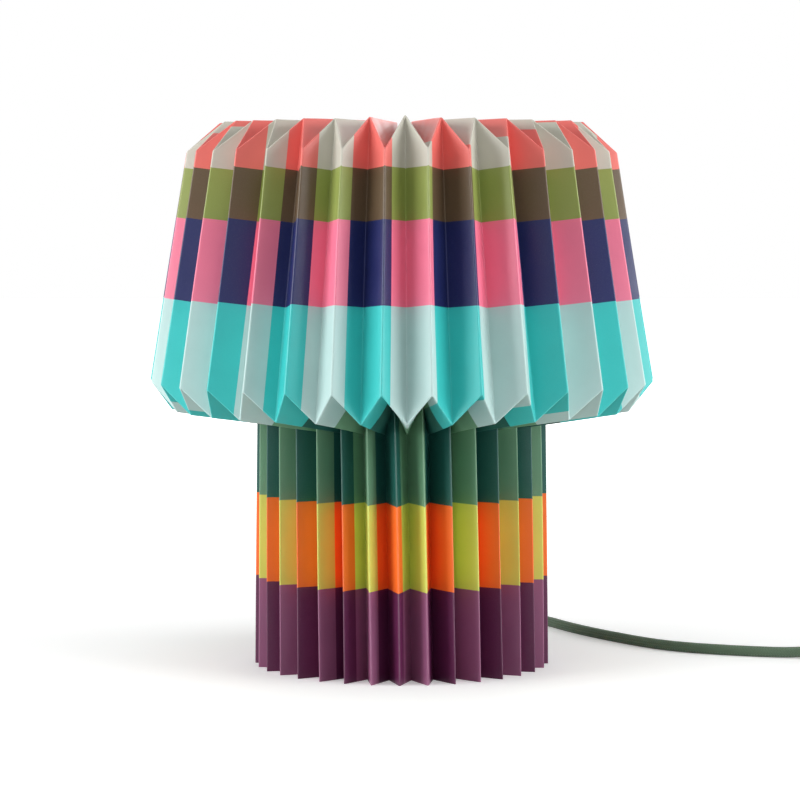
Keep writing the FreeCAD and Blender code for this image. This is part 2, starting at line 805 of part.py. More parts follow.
def make_entry():
    """The cord's way in: strain relief, clamp, and what runs on inside the base and stem."""
    inside = "base_radius-shell_wall"
    tip = "relief_reach-base_radius"
    bore = "cord_diameter/2+fit_gap"
    relief = turned("strain_relief", [
        (bore, "-shell_wall-relief_flange-0.5"),
        ("relief_flange_radius", "-shell_wall-relief_flange-0.5"),
        ("relief_flange_radius", "-shell_wall-0.5"),
        ("relief_neck_radius", "-shell_wall-0.5"),
        ("relief_neck_radius", "moving_gap"),
        ("relief_flange_radius", "moving_gap"),
        ("relief_flange_radius", "moving_gap+relief_flange"),
        ("relief_neck_radius+0.6", "moving_gap+relief_flange+1"),
        ("relief_tip_radius", tip),
        (bore, tip),
    ])
    relief.Placement = Placement(
        Vector(0, worth("base_radius"), worth("cord_entry_height")), Rotation(Vector(1, 0, 0), -90)
    )

    seat = "felt_thickness+cover_thickness+weight_thickness"
    clamp = new_body("cord_clamp")
    bar = new_sketch(clamp, "XY_Plane", seat)
    draw_outline(bar, rectangle("0", "clamp_reach", "clamp_length/2", "clamp_width/2"))
    for side in ("-", ""):
        draw_circle(bar, f"{side}clamp_screw_spacing/2", "clamp_reach", "clamp_screw_radius+fit_gap")
    swept(clamp, "Pad", bar, "clamp_thickness")
    tongue = new_sketch(clamp, "XY_Plane", seat)
    draw_outline(tongue, rectangle("0", "clamp_reach", "cord_diameter/2+notch_gap/2", "clamp_width/2"))
    drop = f"{seat}-(cord_entry_height+cord_diameter/2+fit_gap)"
    swept(clamp, "Pad", tongue, drop, against=True)

    screws = []
    for side in (-1, 1):
        spot = Vector(side * worth("clamp_screw_spacing") / 2, worth("clamp_reach"), 0)
        seat_height = worth(f"{seat}+clamp_thickness")
        screws.append(round_screw(spot + Vector(0, 0, seat_height), worth("clamp_screw_radius"),
                                  worth("clamp_screw_length")))
    clamp_screws = plain_part("clamp_screws", Part.makeCompound(screws))

    stripped = Vector(0, worth("clamp_reach-clamp_width"), worth("cord_entry_height"))
    sheath = tube("cord_inner", Part.Wire([Part.LineSegment(stripped, relief_end()).toShape()]),
                  worth("cord_diameter"))

    leads = []
    bend = worth("wire_bend_radius")
    for side in (-1, 1):
        near, far = side * worth("wire_spacing") / 2, side * worth("terminal_spacing") / 2
        route = [
            Vector(near, stripped.y, stripped.z),
            Vector(near, 0, stripped.z),
            Vector(near, 0, worth(f"{HOLDER_FOOT}+holder_neck_length+holder_cap_lip")),
            Vector(far, 0, worth(f"{SHELL_FOOT}-terminal_rise")),
            Vector(far, 0, worth(f"{INSERT_FOOT}+{TERMINAL_LENGTH}-terminal_rise")),
        ]
        wire, _ = rounded_path(route, [bend, bend / 2, bend / 2])
        leads.append(tube("live_wire" if side > 0 else "neutral_wire", wire, worth("wire_diameter")))
    keep(relief, clamp, clamp_screws, sheath, *leads)


SCREW_HEAD_RADIUS = 1.9
SCREW_HEAD_HEIGHT = 1.3


def round_screw(seat, radius, length):
    """A pan-head screw with a slot, its head standing on the seat and its shank pointing down."""
    head_radius, head_height = SCREW_HEAD_RADIUS * radius, SCREW_HEAD_HEIGHT * radius
    head = Part.makeCylinder(head_radius, head_height, seat)
    rim = [edge for edge in head.Edges if edge.BoundBox.ZMin > seat.z + head_height / 2
           and isinstance(edge.Curve, Part.Circle)]
    head = head.makeFillet(head_height * 0.4, rim)
    slot = Part.makeBox(2 * head_radius, 0.5 * radius, 0.5 * head_height,
                        seat + Vector(-head_radius, -0.25 * radius, 0.6 * head_height))
    shank = Part.makeCylinder(radius, length, seat - Vector(0, 0, length))
    return head.cut(slot).fuse(shank).removeSplitter()


# Where the cord lies between the strain relief and the switch: straight out behind the lamp,
# round to the right, and forward along the table.
LEAD_ROUTE = [
    (0, 88, 10), (0, 109, 10), (13, 136, 3), (48, 155, 3), (84, 139, 3), (102, 100, 3),
    (126, 64, 3), (152, 33, 3), (188, 17, 3), (226, 8, 3), (250, 3.8, 8), (272, -0.1, 8),
]
SWITCH_YAW = -10
COIL_CENTRE = (369.6, -66.4)
COIL_START_AZIMUTH = 70
# How far the tail turns away from the coil before the plug, in degrees.
TAIL_TURN = 28


def coil_station(half_turns):
    """A point of the put-away coil and the way it runs there, so many half turns from its start.

    It runs clockwise, spirals in on the table, climbs a layer in its middle half turn and
    spirals out on top.
    """
    middle = worth("coil_half_turns") / 2
    rate = (worth("cord_diameter") + worth("coil_gap")) / 2
    radius = worth("coil_least_radius") + rate * abs(half_turns - middle)
    angle = math.radians(COIL_START_AZIMUTH - 180 * half_turns)
    rise = worth("cord_diameter") + worth("coil_layer_gap")
    climb = min(max(half_turns - middle + 0.5, 0), 1) * rise
    outward = Vector(math.cos(angle), math.sin(angle), 0)
    onward = Vector(math.sin(angle), -math.cos(angle), 0)
    drift = rate / math.pi * (1 if half_turns > middle else -1)
    centre = Vector(*COIL_CENTRE, worth("cord_diameter") / 2 + climb)
    return centre + outward * radius, (onward * radius + outward * drift).normalize()


def biarc(start, start_way, end, end_way):
    """Two tangent arcs from one point and direction to another."""
    chord = end - start
    ways = start_way + end_way
    spread = 2 * (1 - start_way.dot(end_way))
    along = chord.dot(ways)
    reach = (-along + math.sqrt(along ** 2 + spread * chord.dot(chord))) / spread
    first, second = start + start_way * reach, end - end_way * reach
    joint = (first + second) * 0.5
    edges = []
    for near, corner, far in ((start, first, joint), (joint, second, end)):
        weight = math.cos((corner - near).getAngle(far - corner) / 2)
        middle = (near + corner * (2 * weight) + far) * (1 / (2 + 2 * weight))
        edges.append(Part.Arc(near, middle, far).toShape())
    return edges


def least_self_gap(wire, diameter):
    """The least room between two stretches of one tube, from points along its middle."""
    points = wire.discretize(Distance=2)
    skip = int(math.pi * diameter / 2)
    least = min(
        points[one].distanceToPoint(points[other])
        for one in range(len(points))
        for other in range(one + skip, len(points))
    )
    return least - diameter


def rounded_outline(half_length, half_width, corner):
    """A rectangle about (half_length, 0) with round corners, as an outline of lines and arcs."""
    cut = 1 - math.sqrt(0.5)
    low, high = f"({half_length})-({half_length})", f"2*({half_length})"
    side = f"({half_width})"
    corners = []
    for end, sign in ((high, "-"), (low, "+")):
        inner = f"({end}){sign}({corner})"
        arc_x = f"({end}){sign}({corner})*{cut}"
        ways = ("-", "") if sign == "-" else ("", "-")
        for step, way in enumerate(ways):
            near = (inner, f"{way}{side}")
            far = (end, f"{way}({side}-({corner}))")
            first, second = (near, far) if step == 0 else (far, near)
            corners.append(first)
            corners.append((*second, arc_x, f"{way}({side}-({corner})*{cut})"))
    return corners


def switch_placement():
    yaw = math.radians(SWITCH_YAW)
    inward = Vector(math.cos(yaw), math.sin(yaw), 0) * worth("switch_cord_reach")
    corner = Vector(*LEAD_ROUTE[-1]) - inward
    corner.z = 0
    return Placement(corner, Rotation(Vector(0, 0, 1), SWITCH_YAW))


def make_switch():
    """The in-line switch, along X from its cord entry and standing on Z = 0, then turned in place."""
    place = switch_placement()
    middle = "switch_length/2"
    half = "switch_width/2"
    seam = "switch_cord_height"
    head_depth = f"switch_screw_radius*{SCREW_HEAD_HEIGHT}+fit_gap*10"
    screw_spots = [(f"{middle}-switch_screw_reach", "-switch_screw_side"),
                   (f"{middle}+switch_screw_reach", "switch_screw_side")]

    def half_shell(label, foot, height, floor, rim_edges):
        body = new_body(label)
        outline = new_sketch(body, "XY_Plane", foot)
        draw_outline(outline, rounded_outline(middle, half, "switch_round"))
        swept(body, "Pad", outline, height)
        dressed(body, "Fillet", rim_edges, "switch_edge_round")
        hollow = new_sketch(body, "XY_Plane", floor)
        draw_outline(hollow, inner_outline())
        pocketed(body, hollow, f"{height}-switch_wall", against=True)
        return body

    def inner_outline():
        shifted = rounded_outline(f"({middle}-switch_wall)", f"{half}-switch_wall",
                                  "switch_round-switch_wall")
        moved = []
        for spot in shifted:
            values = list(spot)
            for place_x in range(0, len(values), 2):
                values[place_x] = f"switch_wall+{values[place_x]}"
            moved.append(tuple(values))
        return moved

    base = half_shell("switch_base", "0", seam, "switch_wall",
                      lambda edge: edge.BoundBox.ZMax < 1e-6)
    cover = half_shell("switch_cover", seam, f"switch_height-{seam}", seam,
                       lambda edge: edge.BoundBox.ZMin > worth("switch_height") - 1e-6)

    for body, boss_foot, boss_height in (
        (base, "switch_wall", f"{seam}-switch_wall"),
        (cover, seam, f"switch_height-switch_wall-{seam}"),
    ):
        bosses = new_sketch(body, "XY_Plane", boss_foot)
        for across, along in screw_spots:
            draw_circle(bosses, across, along, "switch_boss_radius")
        swept(body, "Pad", bosses, boss_height)
        screw_holes = new_sketch(body, "XY_Plane", seam)
        for across, along in screw_spots:
            draw_circle(screw_holes, across, along, "switch_screw_radius+fit_gap")
        down = body is base
        pocketed(body, screw_holes, "switch_cord_height+1" if down else "switch_screw_length-4",
                 against=not down)
        entry = new_sketch(body, "YZ_Plane", "-1")
        draw_circle(entry, "0", seam, "cord_diameter/2+fit_gap")
        pocketed(body, entry, "switch_length+2", against=True)
    sinks = new_sketch(base, "XY_Plane")
    for across, along in screw_spots:
        draw_circle(sinks, across, along, f"switch_screw_radius*{SCREW_HEAD_RADIUS}+fit_gap")
    pocketed(base, sinks, head_depth, against=True)

    window = new_sketch(cover, "XY_Plane", "switch_height+1")
    reach = "sqrt(rocker_end_radius^2-(switch_height-switch_wall-rocker_pin_height)^2)+moving_gap"
    draw_outline(window, rectangle(middle, "0", reach, "rocker_width/2+moving_gap"))
    pocketed(cover, window, "switch_wall+2")
    for sign in ("-", ""):
        ear = new_sketch(cover, "XZ_Plane", f"{sign}(rocker_width/2+moving_gap+rocker_ear/2)")
        top = "switch_height-switch_wall"
        draw_outline(ear, [
            (f"{middle}-rocker_pin_radius*2", top),
            (f"{middle}-rocker_pin_radius*2", "rocker_pin_height"),
            (f"{middle}+rocker_pin_radius*2", "rocker_pin_height",
             middle, "rocker_pin_height-rocker_pin_radius*2"),
            (f"{middle}+rocker_pin_radius*2", top),
        ])
        swept(cover, "Pad", ear, "rocker_ear", both_ways=True)
    pin_holes = new_sketch(cover, "XZ_Plane")
    draw_circle(pin_holes, middle, "rocker_pin_height", "rocker_pin_radius+fit_gap")
    pocketed(cover, pin_holes, "rocker_width+2*(moving_gap+rocker_ear+0.1)", both_ways=True)

    rocker = new_body("switch_rocker")
    profile = new_sketch(rocker, "XZ_Plane")
    slope = "tan(rocker_swing/2)"
    end_x = (f"((sqrt(rocker_end_radius^2*(1+{slope}^2)-rocker_dip^2)-rocker_dip*{slope})"
             f"/(1+{slope}^2))")
    end_z = f"(rocker_dip+{end_x}*{slope})"
    low_x = "sqrt(rocker_end_radius^2-rocker_pin_radius^2)"
    mid_z = f"(({end_z}+rocker_pin_radius)/2)"
    mid_x = f"sqrt(rocker_end_radius^2-{mid_z}^2)"
    draw_outline(profile, [
        ("-2*rocker_pin_radius", "-2*rocker_pin_radius"),
        ("2*rocker_pin_radius", "-2*rocker_pin_radius"),
        (low_x, "rocker_pin_radius"),
        (end_x, end_z, mid_x, mid_z),
        ("0", "rocker_dip"),
        (f"-{end_x}", end_z),
        (f"-{low_x}", "rocker_pin_radius", f"-{mid_x}", mid_z),
    ])
    swept(rocker, "Pad", profile, "rocker_width", both_ways=True)
    pins = new_sketch(rocker, "XZ_Plane")
    draw_circle(pins, "0", "0", "rocker_pin_radius")
    swept(rocker, "Pad", pins, "rocker_width+2*(moving_gap+rocker_ear)", both_ways=True)

    screws = []
    for across, along in screw_spots:
        screw = round_screw(Vector(0, 0, 0), worth("switch_screw_radius"), worth("switch_screw_length"))
        screw.rotate(Vector(0, 0, 0), Vector(1, 0, 0), 180)
        screw.translate(Vector(worth(across), worth(along), worth(head_depth)))
        screws.append(screw)
    switch_screws = plain_part("switch_screws", Part.makeCompound(screws))
    for part in (base, cover, switch_screws):
        part.Placement = place
    pivot = Vector(worth(middle), 0, worth("rocker_pin_height"))
    tilt = Rotation(Vector(0, 1, 0), worth("rocker_swing") / 2)
    rocker.Placement = place.multiply(Placement(pivot, tilt))
    print("rocker pin", place.multVec(pivot), "along", place.Rotation.multVec(Vector(0, 1, 0)))
    keep(base, cover, rocker, switch_screws)


def make_plug(entry, way):
    """The two-pin plug on the cord's end, along X from its cord entry, then turned in place."""
    body = new_body("plug_body")
    face = "plug_neck_length+plug_length"
    outline = new_sketch(body, "XY_Plane")
    half = "plug_width/2"
    shoulder = "plug_neck_length+plug_length*0.42"
    swell_x, swell_y = "plug_neck_length+plug_length*0.12", f"{half}*0.72"
    neck_cut = "plug_neck_length*0.6"
    draw_outline(outline, [
        (neck_cut, "-plug_neck_radius"),
        ("plug_neck_length", "-plug_neck_radius"),
        (shoulder, f"-{half}", swell_x, f"-{swell_y}"),
        (face, f"-{half}"),
        (face, half),
        (shoulder, half),
        ("plug_neck_length", "plug_neck_radius", swell_x, swell_y),
        (neck_cut, "plug_neck_radius"),
    ])
    swept(body, "Pad", outline, "plug_thickness", both_ways=True)
    side_view = new_sketch(body, "XZ_Plane")
    thick = "plug_thickness/2"
    for way_up in ("", "-"):
        draw_outline(side_view, [
            ("plug_neck_length*0.5", f"{way_up}(plug_neck_radius)"),
            ("plug_neck_length", f"{way_up}(plug_neck_radius)"),
            (shoulder, f"{way_up}({thick})"),
            (shoulder, f"{way_up}({thick}+1)"),
            ("plug_neck_length*0.5", f"{way_up}({thick}+1)"),
        ])
    pocketed(body, side_view, "plug_width+2", both_ways=True)
    dressed(body, "Fillet", lambda edge: edge.BoundBox.XMin > worth(shoulder) - 1e-6
            and edge.BoundBox.XMax < worth(face) + 1e-6 and edge.BoundBox.YLength < 1e-6
            and edge.BoundBox.ZLength < 1e-6, "plug_thickness*0.3")
    for height, upward in ((thick, False), (f"-{thick}", True)):
        grooves = new_sketch(body, "XY_Plane", height)
        for number in range(4):
            along_plug = f"{face}-plug_groove_spacing*{number + 1.5}"
            draw_outline(grooves, rectangle(along_plug, "0", "plug_groove_width/2", "plug_groove_reach"))
        pocketed(body, grooves, "plug_groove_depth", against=upward)

    neck = new_sketch(body, "XZ_Plane")
    draw_outline(neck, [
        ("0", "cord_diameter/2+fit_gap"),
        ("0", "plug_neck_radius*0.75"),
        ("plug_neck_length", "plug_neck_radius"),
        ("plug_neck_length", "cord_diameter/2+fit_gap"),
    ])
    turning = body.newObject("PartDesign::Revolution", "plug_body_neck")
    turning.Profile = neck
    turning.ReferenceAxis = (neck, ["H_Axis"])
    turning.Angle = 360
    doc.recompute()

    pins = []
    for side in (-1, 1):
        root = Vector(worth(face), side * worth("plug_pin_spacing") / 2, 0)
        length, radius = worth("plug_pin_length"), worth("plug_pin_radius")
        pin = Part.makeCylinder(radius, length, root, Vector(1, 0, 0))
        tip = [edge for edge in pin.Edges
               if edge.BoundBox.XMin > root.x + length / 2 and isinstance(edge.Curve, Part.Circle)]
        pins.append(pin.makeFillet(radius * 0.6, tip))
    plug_pins = plain_part("plug_pins", Part.makeCompound(pins))
    angle = math.degrees(math.atan2(way.y, way.x))
    for part in (body, plug_pins):
        part.Placement = Placement(entry, Rotation(Vector(0, 0, 1), angle))
    keep(body, plug_pins)


def make_cord():
    thick = worth("cord_diameter")
    lead, radii = rounded_path([Vector(*spot) for spot in LEAD_ROUTE])
    print("cord_lead arc radii", radii)
    keep(tube("cord_lead", lead, thick))

    turns = int(worth("coil_half_turns"))
    stations = [coil_station(number) for number in range(turns + 1)]
    edges = []
    for (start, start_way), (end, end_way) in zip(stations, stations[1:]):
        edges += biarc(start, start_way, end, end_way)
    coil = Part.Wire(edges)
    print(f"cord_coil least gap to itself {least_self_gap(coil, thick):.2f} mm")
    keep(tube("cord_coil", coil, thick))

    yaw = math.radians(SWITCH_YAW)
    along_switch = Vector(math.cos(yaw), math.sin(yaw), 0)
    leaves = Vector(*LEAD_ROUTE[-1]) + along_switch * worth("switch_length-2*switch_cord_reach")
    start, way = stations[0]
    link_route = [leaves, leaves + along_switch * 26, start - way * 22, start]
    link, radii = rounded_path(link_route)
    print("cord_link arc radii", radii)
    keep(tube("cord_link", link, thick))

    end, way = stations[-1]
    corner = end + way * 15
    plug_way = Rotation(Vector(0, 0, 1), TAIL_TURN).multVec(Vector(way.x, way.y, 0))
    drop = Vector(0, 0, worth("plug_thickness") / 2 - end.z)
    tail_route = [end, corner, corner + plug_way * 21 + drop, corner + plug_way * 35 + drop]
    tail, radii = rounded_path(tail_route)
    print("cord_tail arc radii", radii)
    keep(tube("cord_tail", tail, thick))
    free = sum(wire.Length for wire in (lead, link, coil, tail))
    print(f"free cord {free:.0f} mm, with the switch {free + worth('switch_length'):.0f} mm")
    make_plug(tail_route[-1], plug_way)


fit_base()
make_sheet()
make_base()
make_stem()
make_holder()
make_bulb()
make_entry()
make_cord()
make_switch()

doc.recompute()
os.makedirs("parts", exist_ok=True)
for item in doc.Objects:
    if "Invalid" in item.State or "Error" in item.State:
        raise ValueError(f"{item.Label} failed: {item.State}")
for part in parts:
    shape = part.Shape
    if shape.isNull() or not shape.isValid():
        raise ValueError(f"{part.Label} has no valid shape")
    shape.exportStep(f"parts/{part.Label}.step")
    print(f"{part.Label}: {len(shape.Solids)} solid, {shape.Volume / 1000:.2f} cm3")
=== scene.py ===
"""The looks of the pleated paper table lamp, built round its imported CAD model, in metres."""

import json
import math

import bmesh
import bpy
import numpy as np
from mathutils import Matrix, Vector


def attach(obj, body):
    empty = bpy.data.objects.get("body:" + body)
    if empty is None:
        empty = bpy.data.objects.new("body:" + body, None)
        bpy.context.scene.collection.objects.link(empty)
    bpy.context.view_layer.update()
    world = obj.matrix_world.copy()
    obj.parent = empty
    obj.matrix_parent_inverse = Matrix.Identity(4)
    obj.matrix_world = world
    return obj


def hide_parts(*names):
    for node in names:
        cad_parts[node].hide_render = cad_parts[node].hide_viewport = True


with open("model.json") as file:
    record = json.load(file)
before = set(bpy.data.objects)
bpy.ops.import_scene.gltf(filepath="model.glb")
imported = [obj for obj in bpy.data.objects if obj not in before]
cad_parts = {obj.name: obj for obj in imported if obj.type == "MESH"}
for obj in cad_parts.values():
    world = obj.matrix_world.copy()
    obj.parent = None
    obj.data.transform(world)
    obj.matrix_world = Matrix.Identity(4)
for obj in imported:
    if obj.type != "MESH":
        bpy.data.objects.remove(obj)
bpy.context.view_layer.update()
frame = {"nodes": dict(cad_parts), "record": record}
scene = bpy.context.scene


# ---------------------------------------------------------------- camera

# How far the camera looks down, in degrees.
LOOKS_DOWN = 4.011

camera = bpy.data.objects.new("camera", bpy.data.cameras.new("camera"))
camera.data.sensor_width = 36
camera.data.lens = 124.36
camera.location = (-0.0010, -1.5316, 0.2536)
camera.rotation_euler = (math.radians(90 - LOOKS_DOWN), 0, 0)
scene.collection.objects.link(camera)
scene.camera = camera


# ---------------------------------------------------------------- building


def new_object(name, mesh, body, *materials):
    """An object of the lamp that moves with that body."""
    made = bpy.data.objects.new(name, mesh)
    scene.collection.objects.link(made)
    for material in materials:
        mesh.materials.append(material)
    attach(made, body)
    return made


def centreline(route):
    """Points along the smooth curve that has the route's points as its control points."""
    curve = bpy.data.curves.new("route", "CURVE")
    curve.dimensions = "3D"
    curve.resolution_u = 16
    spline = curve.splines.new("NURBS")
    spline.points.add(len(route) - 1)
    for point, spot in zip(spline.points, route):
        point.co = (*spot, 1)
    spline.order_u = 3
    spline.use_endpoint_u = True
    holder = bpy.data.objects.new("route", curve)
    line = bpy.data.meshes.new_from_object(holder)
    points = np.array([vertex.co for vertex in line.vertices])
    bpy.data.objects.remove(holder)
    bpy.data.curves.remove(curve)
    bpy.data.meshes.remove(line)
    return points


def lofted(name, path, radius, sides=20, step=0.002):
    """A round tube along the path. Its UV is turns round it and metres along it."""
    runs = np.linalg.norm(np.diff(path, axis=0), axis=1)
    far = np.concatenate(([0], np.cumsum(runs)))
    count = max(int(far[-1] / step), 2)
    spots = np.linspace(0, far[-1], count + 1)
    middle = np.column_stack([np.interp(spots, far, path[:, axis]) for axis in range(3)])
    ways = np.gradient(middle, axis=0)
    ways /= np.linalg.norm(ways, axis=1)[:, None]
    starts_level = abs(ways[0][2]) < 0.9
    side = np.cross(ways[0], (0, 0, 1) if starts_level else (1, 0, 0))
    turns = np.arange(sides) * 2 * math.pi / sides
    mesh = bmesh.new()
    uv = mesh.loops.layers.uv.new("UVMap")
    rings = []
    for spot, way in zip(middle, ways):
        side = side - way * side.dot(way)
        side /= np.linalg.norm(side)
        up = np.cross(way, side)
        rings.append([mesh.verts.new(spot + radius * (math.cos(a) * side + math.sin(a) * up)) for a in turns])
    for row in range(count):
        for column in range(sides):
            following = (column + 1) % sides
            face = mesh.faces.new((rings[row][column], rings[row + 1][column],
                                   rings[row + 1][following], rings[row][following]))
            face.smooth = True
            corners = ((column, row), (column, row + 1), (column + 1, row + 1), (column + 1, row))
            for loop, (turn, along) in zip(face.loops, corners):
                loop[uv].uv = (turn / sides, spots[along])
    mesh.faces.new(rings[0])
    mesh.faces.new(rings[-1][::-1])
    bmesh.ops.recalc_face_normals(mesh, faces=mesh.faces)
    data = bpy.data.meshes.new(name)
    mesh.to_mesh(data)
    mesh.free()
    return data


# ---------------------------------------------------------------- materials


class Graph:
    """The nodes of one material on its Principled shader."""

    def __init__(self, name, **sockets):
        self.material = bpy.data.materials.new(name)
        self.material.use_nodes = True
        self.tree = self.material.node_tree
        self.shader = self.tree.nodes["Principled BSDF"]
        for socket, value in sockets.items():
            self.feed(self.shader.inputs[socket.replace("_", " ")], value)

    def feed(self, socket, value):
        """Links a node's output to the socket, or sets a plain value on it."""
        if isinstance(value, bpy.types.NodeSocket):
            self.tree.links.new(value, socket)
        else:
            socket.default_value = value

    def add(self, kind, output=0, settings=(), **inputs):
        """Adds a node and gives one of its outputs. Inputs are named, or i0, i1 and so on by place."""
        node = self.tree.nodes.new("ShaderNode" + kind)
        for name, value in dict(settings).items():
            setattr(node, name, value)
        for name, value in inputs.items():
            place = int(name[1:]) if name[0] == "i" and name[1:].isdigit() else name.replace("_", " ")
            self.feed(node.inputs[place], value)
        return node.outputs[output]

    def math(self, operation, *values):
        return self.add("Math", settings={"operation": operation},
                        **{f"i{place}": value for place, value in enumerate(values)})

    def weighed(self, first, first_share, second, second_share):
        """Two values added up by their shares."""
        return self.math("ADD", self.math("MULTIPLY", first, first_share),
                         self.math("MULTIPLY", second, second_share))

    def coordinates(self, stretch=(1, 1, 1)):
        place = self.add("TexCoord", "Object")
        return self.add("Mapping", Vector=place, Scale=stretch)

    def uv_pair(self):
        """The two numbers of the mesh's UV."""
        outputs = self.add("SeparateXYZ", Vector=self.add("UVMap")).node.outputs
        return outputs[0], outputs[1]

    def noise(self, size, place=None, detail=2.0, roughness=0.5):
        """Noise with blobs of about that size in metres."""
        place = place or self.coordinates()
        return self.add("TexNoise", Vector=place, Scale=1 / size, Detail=detail, Roughness=roughness)

    def ramp(self, factor, stops, steps=False):
        """Colours or greys by factor; in steps, or blended."""
        node = self.tree.nodes.new("ShaderNodeValToRGB")
        ramp = node.color_ramp
        ramp.interpolation = "CONSTANT" if steps else "LINEAR"
        while len(ramp.elements) < len(stops):
            ramp.elements.new(0)
        for element, (position, _) in zip(ramp.elements, stops):
            element.position = position
        for element, (_, colour) in zip(ramp.elements, stops):
            element.color = (*colour, 1) if isinstance(colour, tuple) else (colour, colour, colour, 1)
        self.feed(node.inputs[0], factor)
        return node.outputs[0]

    def blend(self, factor, first, second, way="MIX"):
        """From the first colour to the second by the factor."""
        node = self.tree.nodes.new("ShaderNodeMix")
        node.data_type = "RGBA"
        node.blend_type = way
        self.feed(node.inputs[0], factor)
        self.feed(node.inputs[6], (*first, 1) if isinstance(first, tuple) else first)
        self.feed(node.inputs[7], (*second, 1) if isinstance(second, tuple) else second)
        return node.outputs[2]

    def bump(self, height, depth):
        """Relief on the shader's normal, depth in metres for a height from 0 to 1."""
        self.feed(self.shader.inputs["Normal"], self.add("Bump", Strength=1, Distance=depth, Height=height))


def linear(red, green, blue):
    """A colour as it is seen, as the linear values that a shader takes."""
    return tuple(c / 12.92 if c <= 0.04045 else ((c + 0.055) / 1.055) ** 2.4 for c in (red, green, blue))


def shade(colour, amount):
    """The colour darker or paler by that amount."""
    return tuple(min(c * amount, 1) for c in colour)


# A noise stays mostly between these two values, so a ramp over it has its ends there.
NOISE_LOW, NOISE_HIGH = 0.3, 0.7
# How many times as large as a finish's grain its cloudiness is, how far its roughness varies to
# either side, and the roughness that it doesn't go under.
CLOUDINESS, ROUGH_SPREAD, LEAST_ROUGH = 25, 0.07, 0.03


def finish_of(name, colour, rough, grain=0.0006, relief=0.00003, mottle=0.05, stretch=(1, 1, 1), **sockets):
    """A solid finish whose grain shows in its colour, its gloss and its relief."""
    graph = Graph(name, **sockets)
    fine = graph.noise(grain, graph.coordinates(stretch), detail=3)
    broad = graph.noise(grain * CLOUDINESS, detail=3)
    tone = graph.ramp(graph.weighed(fine, 0.45, broad, 0.55),
                      [(NOISE_LOW, shade(colour, 1 - mottle)), (NOISE_HIGH, shade(colour, 1 + mottle))])
    graph.feed(graph.shader.inputs["Base Color"], tone)
    gloss = graph.ramp(graph.weighed(fine, 0.5, broad, 0.5),
                       [(NOISE_LOW, max(rough - ROUGH_SPREAD, LEAST_ROUGH)),
                        (NOISE_HIGH, min(rough + ROUGH_SPREAD, 1))])
    graph.feed(graph.shader.inputs["Roughness"], gloss)
    graph.bump(fine, relief)
    return graph.material


# The braid's relief in metres, the threads in a strand and the share of the relief that is theirs.
BRAID_RELIEF, THREADS, THREAD_SHARE = 0.0003, 3, 0.3


def braided(name, colour, strands, lay):
    """A textile braid: crossing strands that go over and under, each of three threads."""
    graph = Graph(name, Sheen_Weight=0.25, Sheen_Roughness=0.5)
    around, along = graph.uv_pair()
    run = graph.math("MULTIPLY", along, 1 / lay)
    left = graph.math("MULTIPLY", graph.math("ADD", around, run), strands)
    right = graph.math("MULTIPLY", graph.math("SUBTRACT", around, run), strands)
    pair = graph.math("ADD", graph.math("FLOOR", left), graph.math("FLOOR", right))
    # 1 where the right-hand strand lies on top, which is at every other crossing.
    over = graph.math("GREATER_THAN", graph.math("FRACT", graph.math("MULTIPLY", pair, 0.5)), 0.25)

    def crown(value):
        return graph.math("ABSOLUTE", graph.math("SINE", graph.math("MULTIPLY", value, math.pi)))

    def chosen(first, second):
        kept = graph.math("MULTIPLY", first, graph.math("SUBTRACT", 1, over))
        return graph.math("ADD", kept, graph.math("MULTIPLY", second, over))

    height = chosen(crown(left), crown(right))
    threads = chosen(*(crown(graph.math("MULTIPLY", side, THREADS)) for side in (left, right)))
    fibre = graph.noise(0.0004, detail=3)
    # Painted shade between the strands and a painted highlight on their crowns.
    tone = graph.ramp(graph.weighed(height, 0.6, fibre, 0.4),
                      [(0.05, shade(colour, 0.45)), (0.45, colour), (0.95, shade(colour, 1.35))])
    graph.feed(graph.shader.inputs["Base Color"], tone)
    graph.feed(graph.shader.inputs["Roughness"], graph.ramp(fibre, [(NOISE_LOW, 0.75), (NOISE_HIGH, 0.95)]))
    relief = graph.math("ADD", height, graph.math("MULTIPLY", threads, THREAD_SHARE))
    graph.bump(relief, BRAID_RELIEF)
    return graph.material


